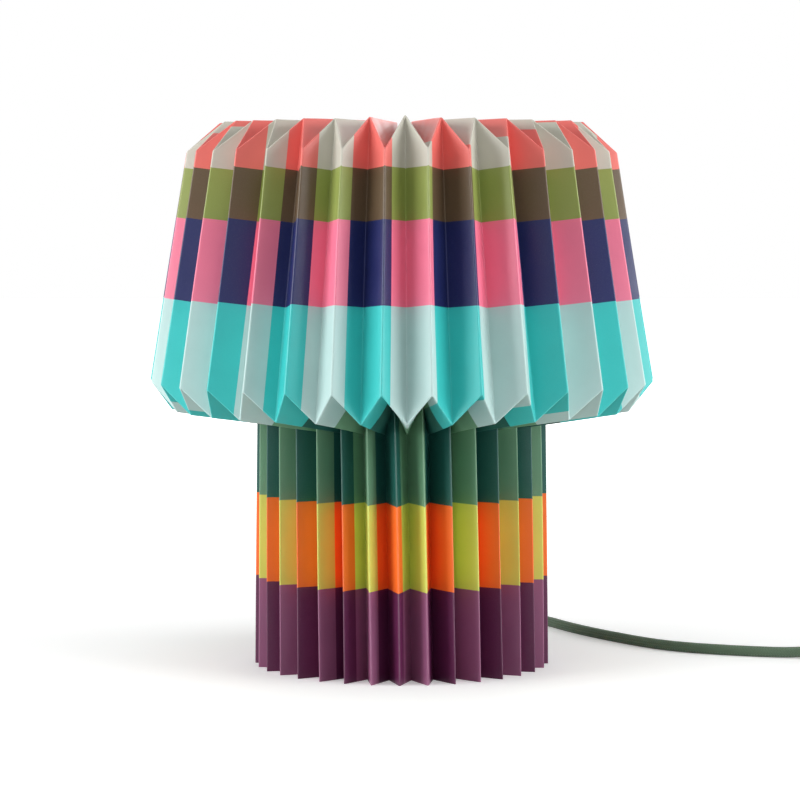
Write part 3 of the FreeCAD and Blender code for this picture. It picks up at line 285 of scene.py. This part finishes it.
# The material of each slot of the record that pieces of the CAD model have.
MATERIALS = {
    "shell_steel": finish_of("powder_coat", linear(0.84, 0.84, 0.82), 0.5, grain=0.0009, relief=0.00004,
                             mottle=0.03),
    "felt": finish_of("pressed_felt", linear(0.2, 0.2, 0.21), 0.95, grain=0.0005, relief=0.0003, mottle=0.35,
                      Sheen_Weight=0.4),
    "weight_iron": finish_of("cast_iron", linear(0.2, 0.2, 0.2), 0.7, grain=0.0015, relief=0.0003,
                             mottle=0.25, Metallic=0.8),
    "plated_steel": finish_of("zinc_plate", linear(0.75, 0.76, 0.76), 0.32, grain=0.0008, relief=0.00001,
                              mottle=0.08, stretch=(1, 1, 0.1), Metallic=1.0),
    "holder_plastic": finish_of("moulded_white", linear(0.87, 0.87, 0.85), 0.42, grain=0.0005, mottle=0.02),
    "holder_ceramic": finish_of("glazed_ceramic", linear(0.92, 0.91, 0.87), 0.15, grain=0.002, relief=0.00005,
                                mottle=0.03, Coat_Weight=0.6),
    "contact_brass": finish_of("bare_brass", linear(0.80, 0.65, 0.35), 0.3, grain=0.0005, relief=0.00001,
                               mottle=0.12, stretch=(1, 1, 0.15), Metallic=1.0),
    "bulb_opal": finish_of("opal_globe", linear(0.86, 0.86, 0.85), 0.35, grain=0.0008, relief=0.000005,
                           mottle=0.02, Subsurface_Weight=0.3, Subsurface_Radius=(1, 1, 1),
                           Subsurface_Scale=0.004),
    "bulb_white": finish_of("bulb_skirt_white", linear(0.84, 0.84, 0.84), 0.3, grain=0.0006, relief=0.00001,
                            mottle=0.02),
    "bulb_metal": finish_of("plated_cap", linear(0.80, 0.80, 0.80), 0.28, grain=0.0006, relief=0.00001,
                            mottle=0.1, stretch=(1, 1, 0.2), Metallic=1.0),
    "live_insulation": finish_of("brown_insulation", linear(0.32, 0.18, 0.10), 0.4, mottle=0.06),
    "neutral_insulation": finish_of("blue_insulation", linear(0.12, 0.25, 0.60), 0.4, mottle=0.06),
    "cord_braid": braided("textile_braid", linear(0.37, 0.47, 0.37), strands=12, lay=0.019),
    "fitting_plastic": finish_of("moulded_sage", linear(0.45, 0.52, 0.42), 0.48, grain=0.0004, relief=0.00003,
                                 mottle=0.05),
    "pin_nickel": finish_of("nickel", linear(0.80, 0.80, 0.78), 0.18, grain=0.0006, relief=0.000005,
                            mottle=0.05, stretch=(1, 1, 0.3), Metallic=1.0),
}


# ---------------------------------------------------------------- print on the paper

PLEATS = 34
# Metres of paper from the hole in the top fan to the foot.
SHEET_RUN = 0.4364
# Where each band of the print starts, in metres of paper from the hole in the top fan, and
# its two colours, which take turns round the sheet.
BANDS = [
    (0.0, (0.77, 0.76, 0.71), (0.90, 0.44, 0.41)),
    (0.1065, (0.55, 0.60, 0.31), (0.36, 0.29, 0.21)),
    (0.1335, (0.93, 0.48, 0.59), (0.09, 0.13, 0.34)),
    (0.1785, (0.72, 0.83, 0.82), (0.22, 0.75, 0.74)),
    (0.2615, (0.41, 0.59, 0.46), (0.11, 0.34, 0.31)),
    (0.3395, (0.84, 0.87, 0.40), (0.98, 0.44, 0.16)),
    (0.3855, (0.59, 0.35, 0.49), (0.37, 0.13, 0.29)),
]
# A stripe's edge and a stripe's width in pleats, and where the narrower stripes of the left side
# and the wider ones of the right side begin, with theirs.
STRIPE_EDGE, STRIPE_WIDTH = -0.33, 0.955
LEFT_FROM, LEFT_WIDTH = -3.2, 0.90
RIGHT_FROM, RIGHT_WIDTH = 1.63, 1.13
# The size of the paper's fibres, clouds, flecks of wear with painted highlight on the folds, and waves, in
# metres.
FIBRE, CLOUD, FLECK, WAVE = 0.0005, 0.018, 0.0025, 0.006
# The most that fibres, and the wear with painted highlight on the folds, take the ink towards the paper's
# colour, the paper's relief in metres and the fibres' share in it.
FIBRE_PALES, WEAR_AND_HIGHLIGHT_PALES = 0.03, 0.10
PAPER_RELIEF, FIBRE_SHARE = 0.00005, 0.2


def printed_paper():
    """Matte printed paper. Its UV is pleats round the sheet and metres down it."""
    graph = Graph("printed_paper", Specular_IOR_Level=0.4)
    across, down = graph.uv_pair()
    stripe = graph.math("DIVIDE", graph.math("SUBTRACT", across, STRIPE_EDGE), STRIPE_WIDTH)
    for start, width, limit in ((LEFT_FROM, LEFT_WIDTH, "MINIMUM"), (RIGHT_FROM, RIGHT_WIDTH, "MAXIMUM")):
        past = graph.math(limit, graph.math("SUBTRACT", across, start), 0)
        stripe = graph.math("ADD", stripe, graph.math("MULTIPLY", past, 1 / width - 1 / STRIPE_WIDTH))
    other = graph.math("GREATER_THAN", graph.math("FRACT", graph.math("DIVIDE", stripe, 2)), 0.5)
    share = graph.math("DIVIDE", down, SHEET_RUN)
    families = [
        graph.ramp(share, [(start / SHEET_RUN, linear(*colours[family])) for start, *colours in BANDS],
                   steps=True)
        for family in (0, 1)
    ]
    ink = graph.blend(other, *families)
    cloud = graph.noise(CLOUD, detail=4)
    ink = graph.blend(1, ink, graph.ramp(cloud, [(NOISE_LOW, 0.955), (NOISE_HIGH, 1.0)]), "MULTIPLY")
    fibre = graph.noise(FIBRE, detail=4, roughness=0.65)
    ink = graph.blend(graph.ramp(fibre, [(0.5, 0.0), (0.85, FIBRE_PALES)]), ink, (0.82, 0.82, 0.80))
    # Pale flecked lines on the folds: worn ink, and a painted highlight along the creases.
    crease = graph.add("Attribute", "Fac", settings={"attribute_name": "crease"})
    flecks = graph.ramp(graph.noise(FLECK, detail=3), [(NOISE_LOW, 0.35), (0.65, 1.0)])
    worn_and_highlit = graph.math("MULTIPLY", graph.math("MULTIPLY", crease, flecks), WEAR_AND_HIGHLIGHT_PALES)
    ink = graph.blend(worn_and_highlit, ink, (0.86, 0.86, 0.83))
    graph.feed(graph.shader.inputs["Base Color"], ink)
    graph.feed(graph.shader.inputs["Roughness"], graph.ramp(cloud, [(NOISE_LOW, 0.36), (NOISE_HIGH, 0.46)]))
    wave = graph.noise(WAVE, detail=2)
    graph.bump(graph.math("ADD", graph.math("MULTIPLY", fibre, FIBRE_SHARE), wave), PAPER_RELIEF)
    return graph.material


def bare_paper():
    """The unprinted side and the cut edges."""
    graph = Graph("bare_paper", Specular_IOR_Level=0.3)
    fibre = graph.noise(0.0006, detail=4, roughness=0.65)
    cloud = graph.noise(0.02, detail=3)
    tone = graph.ramp(graph.math("MULTIPLY", graph.math("ADD", fibre, cloud), 0.5),
                      [(NOISE_LOW, linear(0.90, 0.89, 0.85)), (NOISE_HIGH, linear(0.95, 0.94, 0.91))])
    graph.feed(graph.shader.inputs["Base Color"], tone)
    graph.feed(graph.shader.inputs["Roughness"], graph.ramp(fibre, [(NOISE_LOW, 0.75), (NOISE_HIGH, 0.88)]))
    graph.bump(fibre, PAPER_RELIEF)
    return graph.material


# ---------------------------------------------------------------- folded sheet

# Radius and height of a ridge crease and of a valley crease at the hole in the top fan, the
# shoulder, the rim, the column's head and its foot, and the metres of paper down to each.
RIDGE = np.array([
    (0.021, 0.2818), (0.1197, 0.283), (0.1401, 0.1582), (0.0804, 0.1518), (0.0822, 0.00003),
])
VALLEY = np.array([
    (0.02077, 0.3), (0.1004, 0.2999), (0.12773, 0.14196), (0.0627, 0.13162), (0.0641, 0.00003),
])
RIDGE_RUN = np.array([0, 0.0987, 0.22516, 0.28461, 0.43641])
VALLEY_RUN = np.array([0, 0.07961, 0.23921, 0.30466, 0.43627])
HOLE, SHOULDER, SHOULDER_AND_RIM = 0, 1, slice(1, 3)
# How far the creases are turned about the lamp's axis at each of those places.
TWIST = np.radians([2.65, 0, 0, 1.42, 3.5])
# Creases are counted round the lamp: the even ones are valleys, 0 is at the front, and the odd
# ones are ridges. The half sheets are glued at the seams, and 50 is -18 again.
FIRST_VALLEY = math.radians(1.0)
SEAMS = (-18, 16, 50)
PANEL_WIDTH = 0.0193
PAPER = 0.0004
# How far from the crease the rounding of a ridge, of a valley and of a cross fold starts.
RIDGE_ROUND, VALLEY_ROUND, FOLD_ROUND = 0.0012, 0.0010, 0.0008
# What folding by hand leaves uneven, in metres and at the most: a crease is drawn in at the
# shoulder and the rim, sinks at the shoulder and at the hole, goes sideways at the shoulder and the
# rim, and bows between its corners. SWELL is the usual swell of a panel, and HOLE_TURNS is in
# radians.
DRAWN_IN, SHOULDER_SINKS, HOLE_SINKS, SIDEWAYS, BOW = 0.0007, 0.0006, 0.0015, 0.0003, 0.00035
SWELL = 0.00035
HOLE_TURNS = 0.02
# The valley at the front stands higher at the shoulder.
FRONT_RAISE = 0.0009
SEED = 7


def crease_corners(number, chance):
    """A crease's five corners, from the top fan's hole to the foot, a little uneven."""
    ridge = number % 2
    profile = (RIDGE if ridge else VALLEY).copy()
    profile[SHOULDER_AND_RIM, 0] -= chance.uniform(0, DRAWN_IN, 2)
    profile[SHOULDER, 1] -= chance.uniform(0, SHOULDER_SINKS)
    if number == 0:
        profile[SHOULDER, 1] += FRONT_RAISE
    angle = FIRST_VALLEY + number * math.pi / PLEATS + TWIST
    angle[SHOULDER_AND_RIM] += chance.uniform(-SIDEWAYS, SIDEWAYS, 2) / profile[SHOULDER_AND_RIM, 0]
    angle[HOLE] += chance.uniform(-HOLE_TURNS, HOLE_TURNS)
    profile[HOLE, 1] -= chance.uniform(0, HOLE_SINKS)
    return np.column_stack((profile[:, 0] * np.sin(angle), -profile[:, 0] * np.cos(angle), profile[:, 1]))


# Where the lines of the grid lie beside a fold, as shares of its rounding, and how many more there
# are between two folds.
NEAR_FOLD = (0.35, 0.7, 1.0)
ROWS_BETWEEN, COLUMNS_BETWEEN = 7, 4
LEVELS = len(RIDGE) - 1


def eased(length, middle, start_round, end_round):
    """Shares of a length: close together at both ends, where a fold is, and evenly between."""
    near = [share * start_round / length for share in NEAR_FOLD]
    far = [1 - share * end_round / length for share in reversed(NEAR_FOLD)]
    return [0, *near, *np.linspace(near[-1], far[0], middle + 2)[1:-1], *far]


def rounded(lines, place):
    """Rounds the fold on one line of the grid: a curve from the outer of its near lines to the other's."""
    reach = len(NEAR_FOLD)
    start, corner, end = lines[place - reach].copy(), lines[place].copy(), lines[place + reach].copy()
    steps = [(side * (n + 1), side * NEAR_FOLD[n]) for n in range(reach) for side in (-1, 1)]
    for step, share in [(0, 0.0), *steps]:
        along = (share + 1) / 2
        lines[place + step] = start * (1 - along) ** 2 + corner * 2 * along * (1 - along) + end * along ** 2


def paper_half(name, first, last, corners, chance):
    """One half sheet, from one glued seam to the other, as a grid with a line on every fold."""
    rows = []
    for level in range(LEVELS):
        length = RIDGE_RUN[level + 1] - RIDGE_RUN[level]
        rows += [(level, share) for share in eased(length, ROWS_BETWEEN, FOLD_ROUND, FOLD_ROUND)]
    rows.append((LEVELS - 1, 1.0))
    columns = []
    for crease in range(first, last):
        ends = (RIDGE_ROUND, VALLEY_ROUND) if crease % 2 else (VALLEY_ROUND, RIDGE_ROUND)
        columns += [(crease, share) for share in eased(PANEL_WIDTH, COLUMNS_BETWEEN, *ends)]
    columns.append((last - 1, 1.0))

    bows = {key: chance.uniform(-BOW, BOW, 3) for key in
            [(crease, level) for crease in range(first, last + 1) for level in range(LEVELS)]}
    swells = {key: chance.normal(0, SWELL) for key in
              [(crease, level) for crease in range(first, last) for level in range(LEVELS)]}
    spots = np.zeros((len(rows), len(columns), 3))
    places = np.zeros((len(rows), len(columns), 2))
    for i, (level, down) in enumerate(rows):
        for j, (crease, across) in enumerate(columns):
            here, there = corners[crease], corners[crease + 1]
            hump = math.sin(math.pi * down)
            left = here[level] + (here[level + 1] - here[level]) * down + bows[crease, level] * hump
            right = there[level] + (there[level + 1] - there[level]) * down + bows[crease + 1, level] * hump
            normal = np.cross(there[level] - here[level + 1], there[level + 1] - here[level])
            normal /= np.linalg.norm(normal)
            swell = swells[crease, level] * hump * math.sin(math.pi * across)
            spots[i, j] = left + (right - left) * across + normal * swell
            runs = [(RIDGE_RUN if number % 2 else VALLEY_RUN) for number in (crease, crease + 1)]
            depths = [run[level] + (run[level + 1] - run[level]) * down for run in runs]
            turn = (crease + across) / 2 - (PLEATS // 2 if first >= 0 else 0)
            places[i, j] = turn, depths[0] + (depths[1] - depths[0]) * across

    folded = np.zeros((len(rows), len(columns)))
    for i in [i for i, (level, down) in enumerate(rows) if down == 0 and level]:
        rounded(spots, i)
        folded[i] = 1
    for j in [j for j, (crease, across) in enumerate(columns) if across == 0 and crease > first]:
        rounded(spots.swapaxes(0, 1), j)
        folded[:, j] = columns[j][0] % 2

    width = len(columns)
    faces = [(i * width + j, (i + 1) * width + j, (i + 1) * width + j + 1, i * width + j + 1)
             for i in range(len(rows) - 1) for j in range(width - 1)]
    mesh = bpy.data.meshes.new(name)
    mesh.from_pydata(spots.reshape(-1, 3).tolist(), [], faces)
    uv = mesh.uv_layers.new(name="UVMap")
    flat = places.reshape(-1, 2)
    for loop, corner in zip(mesh.loops, uv.data):
        corner.uv = flat[loop.vertex_index]
    mesh.attributes.new("crease", "FLOAT", "POINT").data.foreach_set("value", folded.ravel())
    return mesh


# Edges that turn more than this stay sharp.
SHARP = math.radians(55)


def thickened(name, mesh, printed, bare, cutter):
    """The sheet at its real thickness, printed outside and bare inside, less the cutter if it has one."""
    mesh.materials.append(printed)
    mesh.materials.append(bare)
    holder = bpy.data.objects.new(name, mesh)
    scene.collection.objects.link(holder)
    solid = holder.modifiers.new("thickness", "SOLIDIFY")
    solid.thickness = PAPER
    solid.offset = 0
    solid.material_offset = 1
    solid.material_offset_rim = 1
    if cutter:
        cut = holder.modifiers.new("notch", "BOOLEAN")
        cut.object = cutter
        cut.solver = "EXACT"
    bpy.context.view_layer.update()
    made = bpy.data.meshes.new_from_object(holder.evaluated_get(bpy.context.evaluated_depsgraph_get()))
    bpy.data.objects.remove(holder)
    made.shade_smooth()
    made.set_sharp_from_angle(angle=SHARP)
    return made


def arch_cutter():
    """The cord's opening in the column's foot: an arch about the cord."""
    half, below, top, near, far = 0.0075, -0.001, 0.010, 0.066, 0.1
    steps = 16
    turns = [math.pi * step / steps for step in range(steps + 1)]
    round_top = [(half * math.cos(a), top + half * math.sin(a)) for a in turns]
    outline = [(half, below), *round_top, (-half, below)]
    mesh = bmesh.new()
    rings = [[mesh.verts.new((x, y, z)) for x, z in outline] for y in (near, far)]
    mesh.faces.new(rings[0])
    mesh.faces.new(rings[1])
    for place in range(len(outline)):
        after = (place + 1) % len(outline)
        mesh.faces.new((rings[0][place], rings[0][after], rings[1][after], rings[1][place]))
    bmesh.ops.recalc_face_normals(mesh, faces=mesh.faces)
    data = bpy.data.meshes.new("arch")
    mesh.to_mesh(data)
    mesh.free()
    arch = bpy.data.objects.new("arch", data)
    scene.collection.objects.link(arch)
    return arch


chance = np.random.default_rng(SEED)
corners = {number: crease_corners(number, chance) for number in range(SEAMS[0], SEAMS[2])}
corners[SEAMS[2]] = corners[SEAMS[0]]
printed, bare = printed_paper(), bare_paper()
arch = arch_cutter()
for name, first, last, cutter in (("front", SEAMS[0], SEAMS[1], None), ("rear", SEAMS[1], SEAMS[2], arch)):
    grid = paper_half(f"{name}_sheet", first, last, corners, chance)
    half = new_object(f"{name}_sheet", thickened(f"{name}_sheet", grid, printed, bare, cutter), "paper_body")
    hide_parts(*[f"{name}_{zone}" for zone in ("top_fan", "shade_wall", "under_fan", "column")])
bpy.data.objects.remove(arch)


# ---------------------------------------------------------------- cord

# The cord's diameter, and the route of the part that leaves the base.
CORD = 0.006
LEAD_ROUTE = [
    (0, 0.088, 0.010), (0, 0.109, 0.010), (0.013, 0.136, 0.003), (0.048, 0.155, 0.003),
    (0.084, 0.139, 0.003), (0.102, 0.100, 0.003), (0.126, 0.064, 0.003), (0.152, 0.033, 0.003),
    (0.188, 0.017, 0.003), (0.226, 0.008, 0.003), (0.250, 0.0038, 0.008), (0.272, -0.0001, 0.008),
]
COIL_CENTRE = Vector((0.3696, -0.0664, 0.003))
COIL_START = math.radians(70)
# The radius of the coil's innermost turn, the distance between turns and the height of a layer.
COIL_LEAST, COIL_PITCH, COIL_RISE = 0.0254, 0.0067, 0.0068
HALF_TURNS = 11
POINTS_A_HALF_TURN = 10


def coil_point(half_turns):
    """A control point of the coil, which spirals in on the table, climbs, and spirals out on top."""
    step = math.pi / POINTS_A_HALF_TURN
    radius = COIL_LEAST + COIL_PITCH / 2 * abs(half_turns - HALF_TURNS / 2)
    reach = radius / math.cos(step / 2)
    angle = COIL_START - math.pi * half_turns
    climb = min(max(half_turns - HALF_TURNS / 2 + 0.5, 0), 1) * COIL_RISE
    return COIL_CENTRE + Vector((math.cos(angle) * reach, math.sin(angle) * reach, climb))


coil = [coil_point(number / POINTS_A_HALF_TURN) for number in range(HALF_TURNS * POINTS_A_HALF_TURN + 1)]
leaves = Vector((0.31533, -0.00774, 0.008))
tail = [(0.34036, -0.10290, 0.0098), (0.3197, -0.1063, 0.00685), (0.3058, -0.1086, 0.00685)]
WOUND_ROUTE = [leaves, (0.34094, -0.01226, 0.008), (0.36391, -0.01758, 0.003), *coil, *tail]


def cord_along(name, line):
    """A piece of the lamp's cord along the line."""
    return new_object(name, lofted(name, line, CORD / 2), "light_kit", MATERIALS["cord_braid"])


lead_line = centreline(LEAD_ROUTE)
lead = cord_along("lead_cord", lead_line)
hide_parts("cord_lead")
wound_line = centreline(WOUND_ROUTE)
wound = cord_along("wound_cord", wound_line)
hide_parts("cord_link", "cord_coil", "cord_tail")
inner = cord_along("inner_cord", np.array([(0, 0.040, 0.010), (0, 0.088, 0.010)]))
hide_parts("cord_inner")


# ---------------------------------------------------------------- carried-over pieces

for row in frame["record"]["subparts"]:
    if row["material_slot"] in MATERIALS:
        node = frame["nodes"][row["node"]]
        for place in node.material_slots:
            place.material = MATERIALS[row["material_slot"]]


# ---------------------------------------------------------------- stage


def softbox(name, spot, size, power, target=(0, 0, 0.17)):
    """A square soft light at a spot, aimed at the target."""
    lamp = bpy.data.lights.new(name, "AREA")
    lamp.size = size
    lamp.energy = power
    holder = bpy.data.objects.new(name, lamp)
    holder.location = spot
    holder.rotation_euler = (Vector(target) - Vector(spot)).to_track_quat("-Z", "Y").to_euler()
    scene.collection.objects.link(holder)


softbox("left", (-2.3, -0.7, 0.3), 1.8, 82)
softbox("right", (2.3, -0.7, 0.3), 1.8, 74)
softbox("top", (0, -0.5, 2.2), 1.4, 15)
softbox("rear", (0.3, 2.4, 0.3), 1.6, 18)


def seen_directly(tree):
    """1 for what the camera sees, directly or in gloss or glass."""
    path = tree.nodes.new("ShaderNodeLightPath")
    seen = path.outputs["Is Camera Ray"]
    for name in ("Is Glossy Ray", "Is Transmission Ray"):
        either = tree.nodes.new("ShaderNodeMath")
        either.operation = "MAXIMUM"
        tree.links.new(seen, either.inputs[0])
        tree.links.new(path.outputs[name], either.inputs[1])
        seen = either.outputs[0]
    return seen


# How strongly the backdrop lights the lamp. Seen directly it is white.
BACKDROP_LIGHT = 0.22
# Metres from the lamp's axis where the floor's glow starts to rise and where it is white, and the
# glow close to the lamp.
GLOW_RISES, GLOW_WHITE, GLOW_LEAST = 0.25, 0.8, 0.3

world = bpy.data.worlds.new("world")
scene.world = world
world.use_nodes = True
tree = world.node_tree
light = tree.nodes["Background"]
white = tree.nodes.new("ShaderNodeBackground")
for background, strength in ((light, BACKDROP_LIGHT), (white, 1)):
    background.inputs["Color"].default_value = (1, 1, 1, 1)
    background.inputs["Strength"].default_value = strength
either = tree.nodes.new("ShaderNodeMixShader")
tree.links.new(seen_directly(tree), either.inputs[0])
tree.links.new(light.outputs[0], either.inputs[1])
tree.links.new(white.outputs[0], either.inputs[2])
tree.links.new(either.outputs[0], tree.nodes["World Output"].inputs["Surface"])

floor_mesh = bmesh.new()
bmesh.ops.create_grid(floor_mesh, x_segments=4, y_segments=4, size=6)
data = bpy.data.meshes.new("floor")
floor_mesh.to_mesh(data)
floor_mesh.free()
floor = bpy.data.objects.new("floor", data)
scene.collection.objects.link(floor)
pale = Graph("pale_floor", Base_Color=(0.9, 0.9, 0.9, 1), Roughness=0.9, Emission_Color=(1, 1, 1, 1))
# Far from the lamp the floor is as white as the backdrop; near the lamp it shows its shadow.
place = pale.add("TexCoord", "Object")
distance = pale.add("VectorMath", "Value", settings={"operation": "LENGTH"}, i0=place)
rise = pale.add("MapRange", settings={"interpolation_type": "SMOOTHSTEP"}, Value=distance,
                From_Min=GLOW_RISES, From_Max=GLOW_WHITE, To_Min=GLOW_LEAST, To_Max=1.0)
lift = pale.math("MULTIPLY", seen_directly(pale.tree), rise)
pale.feed(pale.shader.inputs["Emission Strength"], lift)
data.materials.append(pale.material)

scene.view_settings.view_transform = "Standard"
